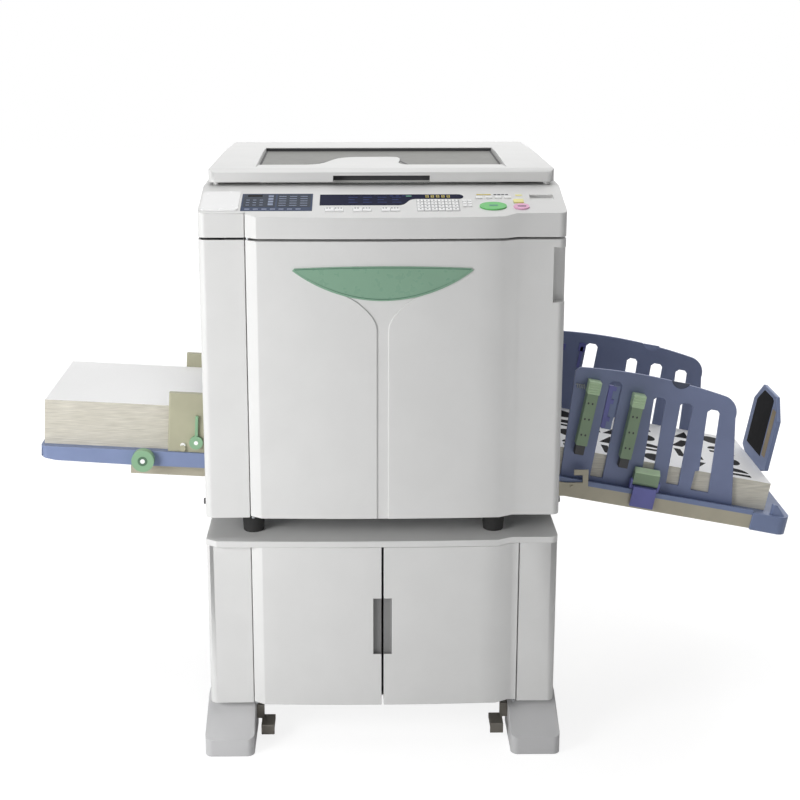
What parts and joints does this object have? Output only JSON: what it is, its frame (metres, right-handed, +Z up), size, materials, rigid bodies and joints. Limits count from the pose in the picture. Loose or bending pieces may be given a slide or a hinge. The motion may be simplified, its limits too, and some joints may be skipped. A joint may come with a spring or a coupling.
{
  "type": "digital duplicator",
  "caption": "Floor standing digital duplicator: hinged scanner lid, control panel, front cover, feed and receiving trays, print drum inside, on a stand with doors.",
  "frame": {"origin": "on the floor under the middle of the whole outline, both trays included", "axes": "+X to the right seen from the front, from the feed tray to the receiving tray; +Y to the rear; +Z up"},
  "size_m": [1.4598, 0.676, 1.078],
  "materials": {
    "stand_paint": "satin",
    "body_light": "satin",
    "shoe_grey": "fine grain",
    "black_metal": "satin",
    "grey_metal": "satin",
    "black_tyre": "matt",
    "frame_steel": "zinc plated",
    "inlet_black": "matt",
    "clear_glass": "polished",
    "display_navy": "polished",
    "label_slate": "satin",
    "plate_white": "satin",
    "carriage_black": "matt",
    "bracket_beige": "satin",
    "tray_blue": "fine grain",
    "plain_paper": "uncoated",
    "pad_white": "soft foam",
    "floor_dark": "satin",
    "emblem_green": "satin",
    "guide_beige": "fine grain",
    "part_green": "fine grain",
    "guide_slate": "fine grain",
    "arranger_green": "fine grain",
    "link_purple": "satin",
    "drum_metal": "screened",
    "roller_rubber": "ground",
    "key_green": "satin",
    "key_pink": "satin",
    "key_yellow": "satin",
    "key_white": "satin"
  },
  "bodies": {
    "machine": {"cabinet_shell": "stand_paint", "stabiliser_feet": "shoe_grey", "rear_caster_forks": "black_metal", "rubber_feet": "black_tyre", "base_pan": "frame_steel", "left_side_cover": "body_light", "right_side_cover": "body_light", "rear_cover": "body_light", "power_inlet": "inlet_black", "inner_frame": "frame_steel", "console_housing": "body_light", "platen_glass": "clear_glass", "display_window": "display_navy", "label_panel": "label_slate", "blank_cover": "plate_white", "scanner_rails": "frame_steel", "hinge_pins": "frame_steel", "tray_brackets": "bracket_beige", "receiving_tray": "tray_blue", "receiving_tray_frame": "bracket_beige", "receiving_end_cap": "tray_blue", "printed_stack": "plain_paper"},
    "platen_lid": {"platen_cover": "body_light", "platen_pad": "pad_white", "document_floor": "floor_dark"},
    "front_door": {"front_cover": "body_light", "emblem_plate": "emblem_green"},
    "stand_door_left": {"left_door": "body_light"},
    "stand_door_right": {"right_door": "body_light"},
    "fork_left": {"left_caster_fork": "black_metal"},
    "fork_right": {"right_caster_fork": "black_metal"},
    "wheel_front_left": {"front_left_wheel": "black_tyre"},
    "wheel_front_right": {"front_right_wheel": "black_tyre"},
    "wheel_rear_left": {"rear_left_wheel": "black_tyre"},
    "wheel_rear_right": {"rear_right_wheel": "black_tyre"},
    "pedal_left": {"left_brake_pedal": "grey_metal"},
    "pedal_right": {"right_brake_pedal": "grey_metal"},
    "feed_table": {"feed_tray": "tray_blue", "feed_tray_frame": "bracket_beige", "feed_paper_stack": "plain_paper"},
    "feed_fence_front": {"feed_guide_front": "guide_beige"},
    "feed_fence_rear": {"feed_guide_rear": "guide_beige"},
    "feed_lock": {"feed_guide_lock": "part_green"},
    "feed_dial": {"feed_tray_dial": "part_green"},
    "out_fence_front": {"receiving_guide_front": "guide_slate", "arranger_links": "link_purple", "clamp_bracket": "link_purple"},
    "out_fence_rear": {"receiving_guide_rear": "guide_slate"},
    "arranger_a": {"left_arranger": "arranger_green"},
    "arranger_b": {"right_arranger": "arranger_green"},
    "clamp": {"clamp_lever": "arranger_green"},
    "paper_stop": {"end_stop": "tray_blue"},
    "drum": {"print_drum": "drum_metal"},
    "press_roller": {"pressure_roller": "roller_rubber"},
    "pick_roller": {"pickup_roller": "roller_rubber"},
    "carriage": {"scanner_carriage": "carriage_black"},
    "key_start": {"start_key": "key_green"},
    "key_stop": {"stop_key": "key_pink"},
    "key_reset": {"reset_key": "key_yellow"},
    "key_group": {"small_keys": "key_white"}
  },
  "joints": [
    {"name": "lid_hinge", "type": "hinge", "parent": "machine", "child": "platen_lid", "pos_m": [-0.0727, 0.329, 1.0595], "axis": [-1, 0, 0], "range_deg": [0, 70]},
    {"name": "front_cover_hinge", "type": "hinge", "parent": "machine", "child": "front_door", "pos_m": [-0.3096, -0.283, 0.711], "axis": [0, 0, -1], "range_deg": [0, 110]},
    {"name": "left_door_hinge", "type": "hinge", "parent": "machine", "child": "stand_door_left", "pos_m": [-0.3096, -0.283, 0.24], "axis": [0, 0, -1], "range_deg": [0, 100]},
    {"name": "right_door_hinge", "type": "hinge", "parent": "machine", "child": "stand_door_right", "pos_m": [0.1752, -0.2815, 0.24], "axis": [0, 0, 1], "range_deg": [0, 100]},
    {"name": "left_swivel", "type": "hinge", "parent": "machine", "child": "fork_left", "pos_m": [-0.3347, -0.132, 0.076], "axis": [0, 0, 1], "continuous": true},
    {"name": "right_swivel", "type": "hinge", "parent": "machine", "child": "fork_right", "pos_m": [0.1893, -0.132, 0.076], "axis": [0, 0, 1], "continuous": true},
    {"name": "front_left_spin", "type": "hinge", "parent": "fork_left", "child": "wheel_front_left", "pos_m": [-0.3347, -0.114, 0.03], "axis": [1, 0, 0], "continuous": true},
    {"name": "front_right_spin", "type": "hinge", "parent": "fork_right", "child": "wheel_front_right", "pos_m": [0.1893, -0.114, 0.03], "axis": [1, 0, 0], "continuous": true},
    {"name": "rear_left_spin", "type": "hinge", "parent": "machine", "child": "wheel_rear_left", "pos_m": [-0.3347, 0.256, 0.03], "axis": [1, 0, 0], "continuous": true},
    {"name": "rear_right_spin", "type": "hinge", "parent": "machine", "child": "wheel_rear_right", "pos_m": [0.1893, 0.256, 0.03], "axis": [1, 0, 0], "continuous": true},
    {"name": "left_pedal_hinge", "type": "hinge", "parent": "machine", "child": "pedal_left", "pos_m": [-0.3127, -0.252, 0.055], "axis": [1, 0, 0], "range_deg": [-10, 12]},
    {"name": "right_pedal_hinge", "type": "hinge", "parent": "machine", "child": "pedal_right", "pos_m": [0.1673, -0.252, 0.055], "axis": [1, 0, 0], "range_deg": [-10, 12]},
    {"name": "feed_tray_lift", "type": "slide", "parent": "machine", "child": "feed_table", "axis": [0, 0, 1], "range_m": [-0.01, 0]},
    {"name": "feed_fence_front_slide", "type": "slide", "parent": "feed_table", "child": "feed_fence_front", "axis": [0, -1, 0], "range_m": [0, 0.012]},
    {"name": "feed_fence_rear_slide", "type": "slide", "parent": "feed_table", "child": "feed_fence_rear", "axis": [0, 1, 0], "range_m": [0, 0.012]},
    {"name": "feed_lock_turn", "type": "hinge", "parent": "feed_fence_front", "child": "feed_lock", "pos_m": [-0.42896, -0.125, 0.54498], "axis": [0, 1, 0], "range_deg": [-20, 20]},
    {"name": "feed_dial_turn", "type": "hinge", "parent": "feed_table", "child": "feed_dial", "pos_m": [-0.53091, -0.134, 0.51292], "axis": [0, 1, 0], "continuous": true},
    {"name": "out_fence_front_slide", "type": "slide", "parent": "machine", "child": "out_fence_front", "axis": [0, -1, 0], "range_m": [0, 0.012]},
    {"name": "out_fence_rear_slide", "type": "slide", "parent": "machine", "child": "out_fence_rear", "axis": [0, 1, 0], "range_m": [0, 0.012]},
    {"name": "arranger_a_slide", "type": "slide", "parent": "out_fence_front", "child": "arranger_a", "axis": [0, -1, 0], "range_m": [0, 0.004]},
    {"name": "arranger_b_slide", "type": "slide", "parent": "out_fence_front", "child": "arranger_b", "axis": [0, -1, 0], "range_m": [0, 0.004]},
    {"name": "clamp_turn", "type": "hinge", "parent": "out_fence_front", "child": "clamp", "pos_m": [0.44064, -0.1271, 0.45869], "axis": [0.9826, 0, -0.1857], "range_deg": [0, 50]},
    {"name": "paper_stop_slide", "type": "slide", "parent": "machine", "child": "paper_stop", "axis": [0.9826, 0, -0.1857], "range_m": [0, 0.018]},
    {"name": "drum_spin", "type": "hinge", "parent": "machine", "child": "drum", "pos_m": [-0.0727, 0.031, 0.73], "axis": [0, 1, 0], "continuous": true},
    {"name": "press_roller_spin", "type": "hinge", "parent": "machine", "child": "press_roller", "pos_m": [-0.0727, 0.031, 0.599], "axis": [0, 1, 0], "continuous": true},
    {"name": "pick_roller_spin", "type": "hinge", "parent": "machine", "child": "pick_roller", "pos_m": [-0.3177, 0.031, 0.62376], "axis": [0, 1, 0], "continuous": true},
    {"name": "carriage_slide", "type": "slide", "parent": "machine", "child": "carriage", "axis": [1, 0, 0], "range_m": [0, 0.38]},
    {"name": "start_key_press", "type": "slide", "parent": "machine", "child": "key_start", "axis": [0, 0.2501, -0.9682], "range_m": [0, 0.0015], "stiffness_N_per_m": 400, "springref_m": -0.001},
    {"name": "stop_key_press", "type": "slide", "parent": "machine", "child": "key_stop", "axis": [0, 0.2501, -0.9682], "range_m": [0, 0.0015], "stiffness_N_per_m": 400, "springref_m": -0.001},
    {"name": "reset_key_press", "type": "slide", "parent": "machine", "child": "key_reset", "axis": [0, 0.2501, -0.9682], "range_m": [0, 0.0015], "stiffness_N_per_m": 400, "springref_m": -0.001},
    {"name": "small_keys_press", "type": "slide", "parent": "machine", "child": "key_group", "axis": [0, 0.2501, -0.9682], "range_m": [0, 0.0015], "stiffness_N_per_m": 400, "springref_m": -0.001}
  ],
  "couplings": [
    {"joint": "feed_fence_rear_slide", "follows": "feed_fence_front_slide", "ratio": 1},
    {"joint": "out_fence_rear_slide", "follows": "out_fence_front_slide", "ratio": 1},
    {"joint": "press_roller_spin", "follows": "drum_spin", "ratio": -2.25}
  ]
}
